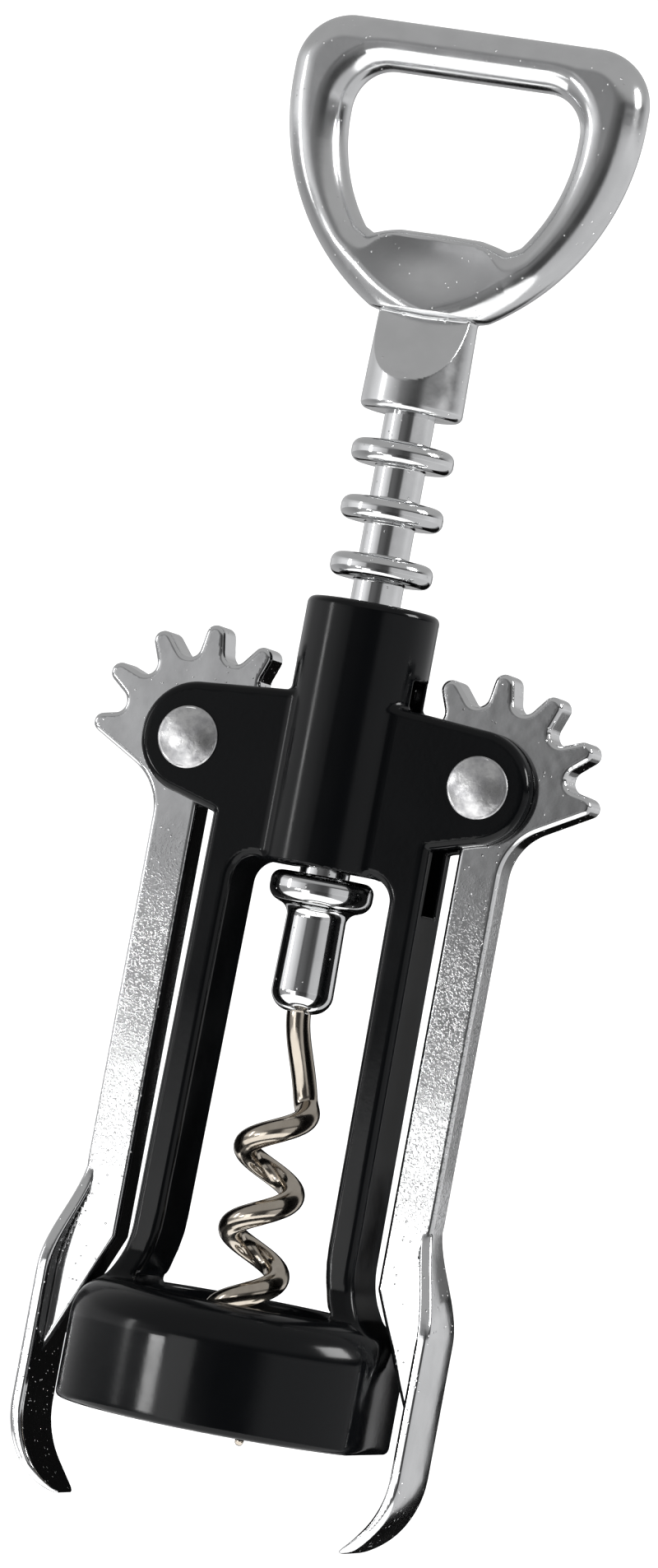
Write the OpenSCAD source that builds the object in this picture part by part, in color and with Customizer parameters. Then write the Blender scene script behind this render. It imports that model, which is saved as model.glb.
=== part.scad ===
// Lever corkscrew with two geared wings, a ring handle with a cap opener and a helical worm.
// Frame: +Z up along the worm's axis, -Y is the front, +X the right-hand lever.
// Origin: centre of the seat inside the bell that the bottle's lip stops against.
// Heights named *_z are measured from the bell's rim, and from_rim() moves them to the origin.

/* [Bell] */
// Outer diameter of the bell
bell_d = 41.6; // [40:0.2:44]
// Height of the bell from rim to top
bell_h = 15.3; // [14.5:0.1:17]
// Radius of the bell's rounded shoulder
bell_shoulder_r = 5; // [3:0.5:6]
// Diameter of the opening in the bell's top
bell_opening_d = 27; // [24:0.5:28]
// Diameter of the bore that takes the bottle's lip
bottle_bore_d = 32.6; // [30:0.2:33]
// Height of the bottle seat above the rim
seat_z = 12.4; // [11:0.1:13]
// Distance of each side flat from the axis
bell_flat_x = 19.6; // [19:0.1:20]

/* [Posts] */
// Distance from the axis to a post's inner face, under the wings
post_in = 10.2; // [9.8:0.1:10.6]
// Width of a post
post_w = 3.75; // [3.4:0.05:4.2]
// How far a post leans outwards down to its foot
post_lean = 0.4; // [0:0.1:0.6]
// Depth of a post, front to back
post_depth = 10.6; // [9.6:0.2:11]
// Height of the window's upper edge
window_top_z = 68.6; // [67:0.2:70]
// Radius of the window's upper corners
window_corner_r = 3; // [1:0.5:4]

/* [Barrel and wings] */
// Outer diameter of the barrel
barrel_d = 16.3; // [15.5:0.1:17]
// Bore of the barrel
barrel_bore_d = 13.2; // [13:0.05:13.4]
// Height of the barrel's top
barrel_top_z = 101.2; // [99:0.2:104]
// Height of the lever pivots
pivot_z = 81.4; // [80.5:0.1:82]
// Distance of each lever pivot from the axis
pivot_x = 18.7; // [18.6:0.05:18.9]
// Radius of a wing's rounded end
lobe_r = 7; // [6.5:0.1:7.5]
// Width of the slot for a lever
slot_w = 5.5; // [5.2:0.1:5.8]
// Height of the slot's lower end
slot_bottom_z = 65.2; // [64:0.2:66]
// Distance from the axis to the slot's inner end below the window's top
slot_inner_x = 11; // [10.8:0.1:11.4]
// Height of the gear openings in the barrel
gear_opening_z = 92.9; // [91:0.2:94]

/* [Levers] */
// Number of teeth that a full pinion would have
virtual_teeth = 12; // [12:1:12]
// Number of teeth cut on each lever
lever_teeth = 7; // [5:1:7]
// Tip radius of the teeth
tip_r = 14.2; // [14:0.05:14.3]
// Root radius of the teeth
root_r = 10.2; // [9.8:0.1:10.6]
// Thickness of a lever
lever_t = 5; // [4.2:0.1:5.2]
// Distance from the axis to a bar's inner edge
bar_in = 16.95; // [16.6:0.05:17.2]
// Distance from the axis to a bar's outer edge
bar_out = 22.5; // [22:0.1:23]
// Distance from the axis to the outside of a grip
grip_out = 25.5; // [25:0.1:26]
// Width of a grip, front to back
grip_w = 11.2; // [10:0.2:13]
// Thickness of a grip's flange
grip_t = 1.7; // [1.4:0.1:2.2]
// Height of the lower end of a grip
grip_tip_z = -12; // [-13:0.1:-11]

/* [Rack rod] */
// Diameter of the rod between its rings
rod_d = 6.2; // [5.8:0.1:6.6]
// Diameter of the rack rings
ring_d = 12.65; // [12.4:0.05:12.8]
// Thickness of a rack ring
ring_t = 2.9; // [2.6:0.05:3]
// Spacing of the rack rings
ring_pitch = 7.03; // [7:0.01:7.06]
// Number of rack rings
ring_count = 7; // [6:1:7]
// How far the rings rest below the middle of the teeth
ring_drop = 0.4; // [0:0.05:0.4]

/* [Handle] */
// Height of the handle's top
handle_top_z = 172.4; // [168:0.2:176]
// Width of the handle's ring
handle_w = 45.3; // [42:0.1:46]
// Depth of the handle's ring, front to back
handle_depth = 7.4; // [6:0.2:8]
// Thickness of the cap opener's web
web_t = 4.8; // [4:0.1:5.6]
// Diameter of the neck at its lower end
neck_d = 12.65; // [12.4:0.05:13]
// Height of the neck's lower end
neck_bottom_z = 124.8; // [124:0.1:126]

/* [Worm and holder] */
// Diameter of the stop collar
collar_d = 12.7; // [12:0.1:13]
// Height of the collar's top
collar_top_z = 67.7; // [67:0.1:68]
// Diameter of the holder's boss
boss_d = 7.6; // [7.2:0.1:8]
// Height of the boss's lower end
boss_bottom_z = 50.9; // [50:0.1:52]
// Diameter of the worm's wire
wire_d = 3; // [2.8:0.1:3.2]
// Outer diameter of the worm's coil
worm_d = 9.7; // [9:0.1:10]
// Pitch of the worm's coil
worm_pitch = 10.05; // [9.5:0.05:10.5]
// Height of the worm's point
worm_tip_z = -1.7; // [-3:0.1:2]

/* [Rivets] */
// Diameter of a rivet's head
head_d = 7.65; // [7:0.05:8]
// Height of a rivet's domed head
head_h = 1.2; // [0.8:0.1:1.4]
// Diameter of a rivet's sleeve, which the lever turns on
sleeve_d = 5; // [4.6:0.1:5.2]
// Diameter of the pin that is pressed into the sleeve
pin_d = 3.1; // [2.8:0.1:3.4]

/* [Hidden] */
$fn = 48;

black_plastic = [0.06, 0.065, 0.07];
chrome = [0.78, 0.79, 0.8];
nickel = [0.72, 0.69, 0.64];
aluminium = [0.7, 0.7, 0.69];

running_gap = 0.05;
cut = 0.1;

// Rods and rings on the spindle
spigot_r = 2.5;
handle_spigot_len = 6;
holder_spigot_len = 7;
worm_socket_len = 9;

// Foot of a post, where it flares out to the bell's side flat
flare_top_z = 22.6;
flare_angle = 32;
flare_in_r = 13;
flare_out_r = 8.5;
foot_depth = 13.9;
foot_start_z = 19;
foot_end_z = 10;
foot_base_z = 6;
bevel_top_z = 21.9;
bevel_x = 12.9;

// Lever, in its own plane with the pivot at the origin, u outwards and w upwards
tooth_step = 360 / virtual_teeth;
tip_round = 1.25;
valley_r = 1.45;
hub_r = 6.4;
last_tip = [12.3, 0.1];
last_tip_round = 1.2;
last_flank_angle = 28;
neck_arc_r = 7;
neck_arc_w = -10.1;
grip_start_z = 29.3;
grip_full_z = 14.8;
grip_curl_r = 12;
grip_curl_z = -1.5;
web_slant_z = 20;
web_foot = [21.6, 9.2];
web_end_z = 3.5;
bore_gap = 0.06;

// Points on an arc about centre c, from angle a to angle b, with n steps
function arc(c, r, a, b, n = 8) =
    [for (i = [0:n]) let (t = a + (b - a) * i / n) c + r * [cos(t), sin(t)]];
// A smooth rise from 0 to 1 as x goes from a to b
function ease(a, b, x) = let (t = max(0, min(1, (x - a) / (b - a)))) t * t * (3 - 2 * t);
function turned(p, a) = [p[0] * cos(a) - p[1] * sin(a), p[0] * sin(a) + p[1] * cos(a)];
function flipped(points) = [for (i = [len(points) - 1:-1:0]) points[i]];

module from_rim() { translate([0, 0, -seat_z]) children(); }

// Extrudes an outline drawn in x and z to a given depth, centred on y = 0
module slab(depth) {
    rotate([90, 0, 0]) linear_extrude(depth, center = true) children();
}

// A box from its lowest to its highest corner
module block(low, high) { translate(low) cube(high - low); }

module both_sides() {
    children();
    mirror([1, 0, 0]) children();
}

// ---------------------------------------------------------------- frame

// The outside of the bell, turned about Z
module bell_body() {
    r = bell_d / 2;
    rim_r = 0.8;
    rotate_extrude($fn = 96) polygon(concat(
        [[0, 0]],
        arc([r - rim_r, rim_r], rim_r, -90, 0, 4),
        arc([r - bell_shoulder_r, bell_h - bell_shoulder_r], bell_shoulder_r, 0, 90),
        [[0, bell_h]]
    ));
}

// The hollow of the bell: the bottle's bore, the seat and the opening above it
module bell_hollow() {
    mouth = 1.2;
    bore_r = bottle_bore_d / 2;
    translate([0, 0, -cut]) cylinder(h = seat_z + cut, r = bore_r, $fn = 96);
    translate([0, 0, -cut]) cylinder(h = mouth + cut, r1 = bore_r + mouth + cut, r2 = bore_r, $fn = 96);
    cylinder(h = bell_h + 1, d = bell_opening_d, $fn = 96);
}

// One wing and its post, right of the axis, in x and z
module upright_outline() {
    low_in = post_in + post_lean;
    low_out = low_in + post_w;
    lobe_x = pivot_x - 0.7;
    flare = [low_out + flare_in_r, flare_top_z];
    foot = [bell_flat_x - flare_out_r, foot_end_z - 2];
    polygon(concat(
        [[0, window_top_z]],
        arc([post_in - window_corner_r, window_top_z - window_corner_r], window_corner_r, 90, 0, 6),
        [[low_in, bevel_top_z], [bevel_x, bell_h - 0.5], [bevel_x, foot_base_z], [bell_flat_x, foot_base_z]],
        arc(foot, flare_out_r, 0, flare_angle, 5),
        arc(flare, flare_in_r, 180 + flare_angle, 180, 6),
        [[post_in + post_w, window_top_z + 4.4]],
        arc([lobe_x, pivot_z], lobe_r, -80, 88, 16),
        [[barrel_d / 2 - 1, pivot_z + lobe_r + 0.9], [0, pivot_z + lobe_r + 0.9]]
    ));
}

// Front-to-back outline of the posts, which widen at the foot, in y and z
module upright_depth() {
    half = post_depth / 2;
    foot = foot_depth / 2;
    polygon([
        [-foot, 0], [foot, 0], [foot, foot_end_z], [half, foot_start_z],
        [half, barrel_top_z], [-half, barrel_top_z], [-half, foot_start_z], [-foot, foot_end_z]
    ]);
}

module barrel_body() {
    edge = 0.9;
    r = barrel_d / 2;
    rotate_extrude($fn = 64) polygon(concat(
        [[0, window_top_z], [r, window_top_z]],
        arc([r - edge, barrel_top_z - edge], edge, 0, 90, 5),
        [[0, barrel_top_z]]
    ));
}

module frame() {
    side = pivot_x + lobe_r + 2;
    half_slot = slot_w / 2;
    slot_top_wall_z = window_top_z + 0.6;
    color(black_plastic) from_rim() difference() {
        union() {
            intersection() {
                bell_body();
                block([-bell_flat_x, -bell_d, -1], [bell_flat_x, bell_d, bell_h + 1]);
            }
            barrel_body();
            intersection() {
                slab(foot_depth) both_sides() upright_outline();
                rotate([90, 0, 90]) linear_extrude(4 * side, center = true) upright_depth();
            }
        }
        bell_hollow();
        translate([0, 0, window_top_z - 1])
            cylinder(h = barrel_top_z - window_top_z + 2, d = barrel_bore_d, $fn = 64);
        both_sides()
            block([slot_inner_x, -half_slot, slot_bottom_z], [side, half_slot, pivot_z + lobe_r + 2]);
        block([-side, -half_slot, slot_top_wall_z], [side, half_slot, pivot_z + lobe_r + 2]);
        block([-barrel_d, -half_slot, slot_top_wall_z], [barrel_d, half_slot, gear_opening_z]);
        both_sides() translate([pivot_x, 0, pivot_z]) rotate([90, 0, 0])
            cylinder(h = post_depth + 1, d = sleeve_d + 2 * running_gap, center = true);
    }
}

// ---------------------------------------------------------------- levers

// Half the turn of a round tooth tip before its flank leaves it for the valley beside it
function flank_turn(tip, tip_round) =
    let (
        valley = turned([root_r + valley_r, 0], tooth_step / 2),
        d = valley - tip
    ) atan2(d[1], d[0]) - acos((tip_round + valley_r) / norm(d));

// One tooth from its right flank round the tip to the valley on its left, turned to angle a
function tooth(a) =
    let (
        turn = flank_turn([tip_r - tip_round, 0], tip_round),
        valley = turned([root_r + valley_r, 0], tooth_step / 2)
    ) [for (p = concat(
        arc([tip_r - tip_round, 0], tip_round, -turn, turn, 6),
        arc(valley, valley_r, turn + 180, tooth_step / 2 + 180, 3)
    )) turned(p, a)];

// The valley on the right of a tooth that points to angle a
function valley_before(a) =
    let (
        turn = flank_turn([tip_r - tip_round, 0], tip_round),
        valley = turned([root_r + valley_r, 0], -tooth_step / 2)
    ) [for (p = arc(valley, valley_r, 180 - tooth_step / 2, 180 - turn, 3)) turned(p, a)];

// The outermost tooth, whose lower flank runs on into the bar
function last_tooth() =
    let (
        turn = flank_turn(last_tip, last_tip_round),
        valley = turned([root_r + valley_r, 0], tooth_step / 2)
    ) concat(
        arc([bar_out - pivot_x + neck_arc_r, neck_arc_w], neck_arc_r, 180, 90 + last_flank_angle, 8),
        arc(last_tip, last_tip_round, last_flank_angle - 90, turn, 6),
        arc(valley, valley_r, turn + 180, tooth_step / 2 + 180, 3)
    );

// Distance from the axis to the outside of a grip at height z
function grip_x(z) =
    z < grip_curl_z
        ? grip_out - grip_curl_r + sqrt(pow(grip_curl_r, 2) - pow(z - grip_curl_z, 2))
        : bar_out + (grip_out - bar_out) * ease(grip_start_z, grip_full_z, z);
// Width of a grip at height z: narrow where it leaves the bar, rounded at its tip
function grip_width(z) =
    let (from_tip = z - grip_tip_z, corner = 3.2)
    (lever_t + (grip_w - lever_t) * ease(grip_start_z, grip_full_z, z))
        - (from_tip < corner ? 2 * (corner - sqrt(pow(corner, 2) - pow(corner - from_tip, 2))) : 0);

grip_z = concat(
    [for (i = [0:4]) grip_tip_z + i * 0.8],
    [for (i = [1:5]) grip_tip_z + 3.2 + i * 1.46],
    [for (i = [0:8]) grip_full_z + (grip_start_z - grip_full_z) * i / 8]
);

// Pinion, bar and web of the right-hand lever, in x and z with the pivot at [pivot_x, pivot_z]
module lever_outline() {
    p = [pivot_x, pivot_z];
    last = lever_teeth - 1;
    pinion = concat(
        last_tooth(),
        [for (k = [1:last]) each concat(valley_before(k * tooth_step), tooth(k * tooth_step))],
        [[bar_in - pivot_x, -hub_r - 1]]
    );
    web = concat(
        [[bar_in, web_slant_z], web_foot, [web_foot[0] + 1.2, web_foot[1] - 2.6]],
        [[grip_x(web_end_z) - grip_t / 2, web_end_z]],
        [for (z = grip_z) if (z > web_end_z) [grip_x(z) - grip_t / 2, z]],
        [[bar_out, grip_start_z + 0.5]]
    );
    polygon(concat(flipped(web), [for (q = flipped(pinion)) q + p]));
}

// The flange of a grip, in x and z
module grip_outline() {
    polygon(concat(
        [for (z = grip_z) [grip_x(z), z]],
        [for (z = flipped(grip_z)) [grip_x(z) - grip_t, z]]
    ));
}

module grip_face() {
    polygon(concat(
        [for (z = grip_z) [-grip_width(z) / 2, z]],
        [for (z = flipped(grip_z)) [grip_width(z) / 2, z]]
    ));
}

module lever() {
    color(chrome) from_rim() difference() {
        union() {
            slab(lever_t) lever_outline();
            intersection() {
                slab(grip_w) grip_outline();
                rotate([90, 0, 90]) linear_extrude(2 * grip_out) grip_face();
            }
        }
        translate([pivot_x, 0, pivot_z]) rotate([90, 0, 0])
            cylinder(h = lever_t + 1, d = sleeve_d + 2 * bore_gap, center = true);
    }
}

module lever_right() { lever(); }
module lever_left() { mirror([1, 0, 0]) lever(); }

// ---------------------------------------------------------------- rivets

// A domed head whose flat side lies on z = 0
module rivet_head() {
    rim = 0.3;
    rise = head_h - rim;
    dome_r = (pow(head_d / 2, 2) + pow(rise, 2)) / (2 * rise);
    half_angle = asin(head_d / 2 / dome_r);
    rotate_extrude() polygon(concat(
        [[0, 0], [head_d / 2, 0]],
        arc([0, head_h - dome_r], dome_r, 90 - half_angle, 90, 6)
    ));
}

// Stands a rivet's head on the front of a wing, or on the back when side is -1
module at_pivot(x, side) {
    from_rim() translate([x, -side * post_depth / 2, pivot_z]) rotate([side * 90, 0, 0]) children();
}

module rivet_male(x) {
    pin_len = post_depth - 1.4;
    color(aluminium) at_pivot(x, 1) {
        rivet_head();
        translate([0, 0, -pin_len]) cylinder(h = pin_len + cut, d = pin_d);
    }
}

module rivet_female(x) {
    sleeve_len = post_depth - 0.3;
    color(aluminium) at_pivot(x, -1) difference() {
        union() {
            rivet_head();
            translate([0, 0, -sleeve_len]) cylinder(h = sleeve_len + cut, d = sleeve_d);
        }
        translate([0, 0, -sleeve_len - 1]) cylinder(h = sleeve_len + 0.5, d = pin_d);
    }
}

module rivet_left_male() { rivet_male(-pivot_x); }
module rivet_left_female() { rivet_female(-pivot_x); }
module rivet_right_male() { rivet_male(pivot_x); }
module rivet_right_female() { rivet_female(pivot_x); }

// ---------------------------------------------------------------- spindle

// Height of the middle of rack ring k, counted from the bottom
function ring_z(k) = pivot_z + (k - 0.5) * ring_pitch - ring_drop;

// Outline of one rounded ring, from its lower to its upper edge, in r and z
function ring_profile(z) =
    let (edge = 1.1, r = ring_d / 2 - edge, h = ring_t / 2 - edge)
    concat(
        [[rod_d / 2, z - ring_t / 2]],
        arc([r, z - h], edge, -90, 0, 4),
        arc([r, z + h], edge, 0, 90, 4),
        [[rod_d / 2, z + ring_t / 2]]
    );

module rack_rod() {
    spigot_top = neck_bottom_z + handle_spigot_len;
    spigot_bottom = collar_top_z - holder_spigot_len;
    color(chrome) from_rim() rotate_extrude() polygon(concat(
        [[0, spigot_bottom], [spigot_r, spigot_bottom], [spigot_r, collar_top_z], [rod_d / 2, collar_top_z]],
        [for (k = [0:ring_count - 1]) each ring_profile(ring_z(k))],
        [[rod_d / 2, neck_bottom_z], [spigot_r, neck_bottom_z], [spigot_r, spigot_top], [0, spigot_top]]
    ));
}

module worm_holder() {
    collar_h = 3.8;
    edge = 1.1;
    r = collar_d / 2;
    nose = 2.5;
    socket_bottom = collar_top_z - holder_spigot_len;
    color(chrome) from_rim() difference() {
        rotate_extrude() polygon(concat(
            [[0, boss_bottom_z]],
            arc([boss_d / 2 - nose, boss_bottom_z + nose], nose, -90, 0, 5),
            [[boss_d / 2 - 0.1, collar_top_z - collar_h - 1.4], [boss_d / 2 + 1.5, collar_top_z - collar_h]],
            arc([r - edge, collar_top_z - collar_h + edge], edge, -90, 0, 4),
            arc([r - edge, collar_top_z - edge], edge, 0, 90, 4),
            [[0, collar_top_z]]
        ));
        translate([0, 0, socket_bottom - 0.2])
            cylinder(h = holder_spigot_len + 1, r = spigot_r + running_gap);
        translate([0, 0, boss_bottom_z - 1]) cylinder(h = worm_socket_len + 1, d = wire_d);
    }
}

// Where the worm's wire runs: down the axis, out to the coil, round and round, and in to the point
worm_straight_z = 51.5;
worm_coil_z = 39.2;
worm_point_len = 9;
shank_lap = 0.3;
worm_right_z = 38.9;
worm_right_angle = 18;
worm_rings = 96;
worm_sides = 10;
coil_r = (worm_d - wire_d) / 2;

function worm_angle(z) =
    let (above = max(z - worm_right_z, 0))
    worm_right_angle + 360 * (min(z - worm_right_z, 0) + above / sqrt(1 + above * above)) / worm_pitch;
function worm_out(z) =
    coil_r * ease(worm_straight_z, worm_coil_z, z) - 0.9 * ease(worm_tip_z + worm_point_len, worm_tip_z, z);
function worm_at(z) = [worm_out(z) * cos(worm_angle(z)), worm_out(z) * sin(worm_angle(z)), z];
// The coil's wire is a hair thinner than the shank, so that it passes cleanly into it
function wire_r(z) = 0.98 * wire_d / 2 * pow(ease(worm_tip_z - 3, worm_tip_z + worm_point_len, z), 0.6);
function unit(v) = v / norm(v);

worm_heights = [for (i = [0:worm_rings - 1])
    worm_straight_z - (worm_straight_z - worm_tip_z) * i / (worm_rings - 1)];

// Direction of the wire at height z, pointing down it
function worm_along(z) =
    z > worm_straight_z - 0.01 ? [0, 0, -1] : unit(worm_at(z - 0.02) - worm_at(z + 0.02));
// The part of v that is square to the direction a
function squared(v, a) = unit(v - (v * a) * a);

// One side direction for each ring, carried along the wire so that the rings don't twist
worm_sidewise = [for (
    i = 0, v = [1, 0, 0];
    i < worm_rings;
    i = i + 1, v = i < worm_rings ? squared(v, worm_along(worm_heights[i])) : v
) v];

// Ring number i of points round the wire
function wire_ring(i) =
    let (
        z = worm_heights[i],
        side = worm_sidewise[i],
        out = cross(worm_along(z), side),
        r = i == worm_rings - 1 ? 0.12 : wire_r(z)
    ) [for (s = [0:worm_sides - 1]) let (a = 360 * s / worm_sides)
        worm_at(z) + r * (cos(a) * side + sin(a) * out)];

module worm() {
    last = worm_rings - 1;
    color(nickel) from_rim() {
        translate([0, 0, worm_straight_z - shank_lap])
            cylinder(h = boss_bottom_z + worm_socket_len - worm_straight_z + shank_lap, d = wire_d);
        polyhedron(
            points = [for (i = [0:last]) each wire_ring(i)],
            faces = concat(
                [[for (s = [0:worm_sides - 1]) s]],
                [for (i = [0:last - 1], s = [0:worm_sides - 1]) let (t = (s + 1) % worm_sides)
                    [i * worm_sides + s, (i + 1) * worm_sides + s,
                     (i + 1) * worm_sides + t, i * worm_sides + t]],
                [[for (s = [worm_sides - 1:-1:0]) last * worm_sides + s]]
            )
        );
    }
}

// ---------------------------------------------------------------- handle

ring_arc_z = 163.9;
outer_arc_r = 31;
outer_corner_r = 7;
hole_half = 14.9;
hole_top_z = 166.2;
hole_arc_r = 22;
hole_corner_r = 5;
hole_arc_z = 160.5;
tongue_z = 147.4;
notch_z = 146.2;
plate_bottom_z = 136.6;
scoop_r = 17.6;
scoop_y = 19;
scoop_z = 141;
neck_top_z = 137;

module handle_outline() {
    half = handle_w / 2;
    c = [half - outer_arc_r, ring_arc_z];
    end = -asin((ring_arc_z - plate_bottom_z) / outer_arc_r);
    polygon(concat(
        [[0, plate_bottom_z]],
        arc(c, outer_arc_r, end, 0, 10),
        arc([half - outer_corner_r, handle_top_z - outer_corner_r], outer_corner_r, 0, 90, 8),
        [[0, handle_top_z]]
    ));
}

// Half of the finger hole, which is also the cap opener
module hole_outline() {
    c = [hole_half - hole_arc_r, hole_arc_z];
    end = -asin((hole_arc_z - notch_z - 0.8) / hole_arc_r);
    polygon(concat(
        [[0, hole_top_z]],
        arc([hole_half - hole_corner_r, hole_top_z - hole_corner_r], hole_corner_r, 90, 0, 6),
        arc(c, hole_arc_r, 0, end, 8),
        [[8.8, notch_z], [7, notch_z + 0.5], [5.2, tongue_z - 0.3], [0, tongue_z]]
    ));
}

// The web under the hole is thinner than the ring: this is cut from both faces
module web_recess_outline() {
    polygon(concat(
        [[0, 139.5], [5, 140.5]],
        arc([1.5, 150], 9.6, -50, -4, 5),
        [[10.6, 152], [0, 152]]
    ));
}

module neck_body() {
    r = neck_d / 2;
    edge = 0.9;
    rotate_extrude() polygon(concat(
        [[0, neck_bottom_z]],
        arc([r - edge, neck_bottom_z + edge], edge, -90, 0, 4),
        [[r - 0.22, neck_top_z], [0, neck_top_z]]
    ));
}

module handle() {
    recess = (handle_depth - web_t) / 2;
    color(chrome) from_rim() difference() {
        union() {
            slab(handle_depth) both_sides() handle_outline();
            difference() {
                neck_body();
                for (side = [-1, 1]) translate([0, side * scoop_y, scoop_z]) rotate([0, 90, 0])
                    cylinder(h = neck_d + 1, r = scoop_r, center = true);
            }
        }
        slab(handle_depth + 1) both_sides() hole_outline();
        for (side = [-1, 1]) translate([0, side * (handle_depth - recess + cut) / 2, 0])
            slab(recess + cut) both_sides() web_recess_outline();
        translate([0, 0, neck_bottom_z - 1])
            cylinder(h = handle_spigot_len + 1.2, r = spigot_r + running_gap);
    }
}

frame();
handle();
rack_rod();
worm_holder();
worm();
lever_left();
lever_right();
rivet_left_male();
rivet_left_female();
rivet_right_male();
rivet_right_female();
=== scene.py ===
"""Lever corkscrew: smooth cast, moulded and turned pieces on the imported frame, with their finishes.

Shapes are worked out in millimetres, with heights measured from the bell's rim, as the part is drawn.
"""
import math

import bpy
import numpy as np
import openvdb
from mathutils import Matrix, Vector


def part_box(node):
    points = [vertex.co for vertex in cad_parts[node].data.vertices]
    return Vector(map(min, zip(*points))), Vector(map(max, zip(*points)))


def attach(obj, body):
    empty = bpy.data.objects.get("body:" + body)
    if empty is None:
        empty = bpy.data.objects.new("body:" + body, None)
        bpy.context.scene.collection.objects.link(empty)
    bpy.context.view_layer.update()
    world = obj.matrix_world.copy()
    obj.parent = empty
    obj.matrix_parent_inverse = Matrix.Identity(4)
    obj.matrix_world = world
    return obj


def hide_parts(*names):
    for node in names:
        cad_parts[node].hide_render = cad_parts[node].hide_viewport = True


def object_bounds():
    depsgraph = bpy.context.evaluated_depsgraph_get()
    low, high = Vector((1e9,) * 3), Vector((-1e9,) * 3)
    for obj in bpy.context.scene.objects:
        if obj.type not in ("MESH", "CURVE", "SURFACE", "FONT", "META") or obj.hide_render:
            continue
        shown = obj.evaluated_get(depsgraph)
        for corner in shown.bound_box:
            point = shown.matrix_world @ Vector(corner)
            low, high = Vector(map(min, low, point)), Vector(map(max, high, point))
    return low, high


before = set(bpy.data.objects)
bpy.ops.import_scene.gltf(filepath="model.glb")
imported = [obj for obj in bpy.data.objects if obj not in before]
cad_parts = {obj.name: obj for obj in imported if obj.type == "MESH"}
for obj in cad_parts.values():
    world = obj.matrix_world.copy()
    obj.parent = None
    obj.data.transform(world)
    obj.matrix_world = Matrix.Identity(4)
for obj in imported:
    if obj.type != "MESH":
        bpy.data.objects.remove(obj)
cad_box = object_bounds()

MM = 0.001
RIM_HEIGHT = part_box("frame")[0].z / MM


def corners(node):
    """The lowest and highest corner of a CAD node, in mm from the rim."""
    return [np.array(corner) / MM - (0, 0, RIM_HEIGHT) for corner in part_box(node)]


# ---------------------------------------------------------------- dimensions from the frame

frame_low, frame_high = corners("frame")
handle_low, handle_high = corners("handle")
lever_low, lever_high = corners("lever_right")
rivet_low, rivet_high = corners("rivet_right_male")
rod_low, rod_high = corners("rack_rod")
holder_low, holder_high = corners("worm_holder")
worm_high = corners("worm")[1]

PIVOT_X = (rivet_low[0] + rivet_high[0]) / 2
PIVOT_Z = (rivet_low[2] + rivet_high[2]) / 2
HEAD_R = (rivet_high[0] - rivet_low[0]) / 2
BARREL_TOP = frame_high[2]
BELL_R = frame_high[1]
HANDLE_TOP = handle_high[2]
HANDLE_HALF = handle_high[0]
NECK_BOTTOM = handle_low[2]
RING_R = rod_high[0]
COLLAR_R = holder_high[0]
COLLAR_TOP = holder_high[2]
BOSS_BOTTOM = holder_low[2]
GRIP_TIP = lever_low[2]
GRIP_HALF = lever_high[1]

# ---------------------------------------------------------------- outlines and fields


def arc(centre, radius, start, end, step=1.5):
    """Points round an arc, angles in degrees."""
    count = max(2, round(abs(end - start) / step))
    angles = np.radians(np.linspace(start, end, count + 1))
    return [(centre[0] + radius * math.cos(a), centre[1] + radius * math.sin(a)) for a in angles]


def turned(point, degrees):
    """A point turned about the origin."""
    a = math.radians(degrees)
    return (
        point[0] * math.cos(a) - point[1] * math.sin(a),
        point[0] * math.sin(a) + point[1] * math.cos(a),
    )


def ease(a, b, x):
    """A smooth rise from 0 to 1 as x goes from a to b."""
    t = np.clip((x - a) / (b - a), 0, 1)
    return t * t * (3 - 2 * t)


class Outline:
    """The signed distance to a closed outline, negative inside, looked up on a fine grid."""

    CELL = 0.1

    def __init__(self, points, soften=1, band=4.0):
        p = np.array(points, float)
        self.band = band
        self.low = p.min(0) - band - 1
        size = np.ceil((p.max(0) + band + 1 - self.low) / self.CELL).astype(int) + 1
        u = self.low[0] + np.arange(size[0]) * self.CELL
        v = self.low[1] + np.arange(size[1]) * self.CELL
        distance = np.full(size, band)
        inside = np.zeros(size, bool)
        for a, b in zip(p, np.roll(p, -1, axis=0)):
            self.near(distance, a, b, u, v)
            if a[1] != b[1]:
                rows = np.where((v >= min(a[1], b[1])) & (v < max(a[1], b[1])))[0]
                crossing = a[0] + (v[rows] - a[1]) * (b[0] - a[0]) / (b[1] - a[1])
                inside[:, rows] ^= u[:, None] < crossing[None, :]
        signed = np.where(inside, -distance, distance)
        for _ in range(soften):
            for axis in (0, 1):
                signed = (np.roll(signed, 1, axis) + 2 * signed + np.roll(signed, -1, axis)) / 4
        self.table = signed

    def near(self, distance, a, b, u, v):
        """Lowers the distances near the edge from a to b."""
        first = np.floor((np.minimum(a, b) - self.band - self.low) / self.CELL).astype(int)
        last = np.ceil((np.maximum(a, b) + self.band - self.low) / self.CELL).astype(int) + 1
        window = slice(max(first[0], 0), last[0]), slice(max(first[1], 0), last[1])
        du = (u[window[0]] - a[0])[:, None]
        dv = (v[window[1]] - a[1])[None, :]
        edge = b - a
        length = max(float(edge @ edge), 1e-12)
        t = np.clip((du * edge[0] + dv * edge[1]) / length, 0, 1)
        found = np.hypot(du - t * edge[0], dv - t * edge[1])
        distance[window] = np.minimum(distance[window], found)

    def __call__(self, u, v):
        """The distance at each point, which is held at the grid's edge value beyond it."""
        top = np.array(self.table.shape) - 1.001
        s = np.clip((u - self.low[0]) / self.CELL, 0, top[0])
        t = np.clip((v - self.low[1]) / self.CELL, 0, top[1])
        i, j = s.astype(int), t.astype(int)
        s, t = s - i, t - j
        table = self.table
        near = table[i, j] * (1 - s) + table[i + 1, j] * s
        far = table[i, j + 1] * (1 - s) + table[i + 1, j + 1] * s
        return near * (1 - t) + far * t


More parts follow.
